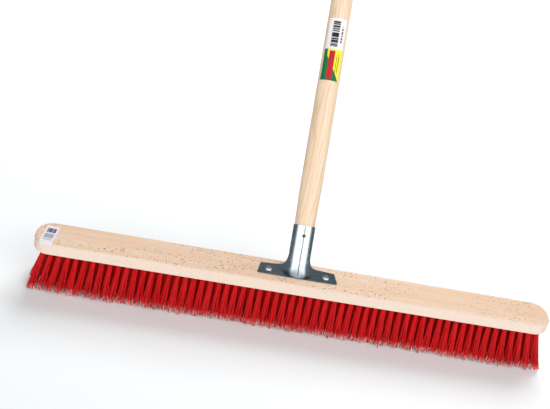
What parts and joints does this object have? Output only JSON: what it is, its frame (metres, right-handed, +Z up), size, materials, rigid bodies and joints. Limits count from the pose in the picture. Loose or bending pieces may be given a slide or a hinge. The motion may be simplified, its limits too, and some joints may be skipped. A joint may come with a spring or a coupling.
{
  "type": "push broom",
  "caption": "Push broom with a long beech block of red bristle tufts and a slanted wooden handle held in a seamed steel socket screwed to the block.",
  "frame": {"origin": "on the plane of the bristle tips, under the middle of the brush block", "axes": "+X along the brush block, +Y to the side the handle leans towards, +Z up from the bristle tips to the block"},
  "size_m": [0.8132, 0.9499, 1.3112],
  "materials": {
    "beech": "satin",
    "handle_wood": "satin",
    "zinc_sheet": "satin",
    "zinc_screw": "satin",
    "anchor_steel": "satin",
    "bristle": "matte",
    "paper": "matte"
  },
  "bodies": {
    "head": {"broom_block": "beech", "handle_socket": "zinc_sheet", "socket_screws": "zinc_screw", "block_label": "paper", "tuft_row_1": "bristle", "tuft_row_2": "bristle", "tuft_row_3": "bristle", "tuft_row_4": "bristle", "tuft_row_5": "bristle", "tuft_anchors_1": "anchor_steel", "tuft_anchors_2": "anchor_steel", "tuft_anchors_3": "anchor_steel", "tuft_anchors_4": "anchor_steel", "tuft_anchors_5": "anchor_steel"},
    "handle": {"broom_handle": "handle_wood", "handle_label": "paper"}
  },
  "joints": [
    {"name": "handle_pull_out", "type": "slide", "parent": "head", "child": "handle", "axis": [0, 0.5948, 0.8039], "range_m": [0, 0.08]}
  ]
}
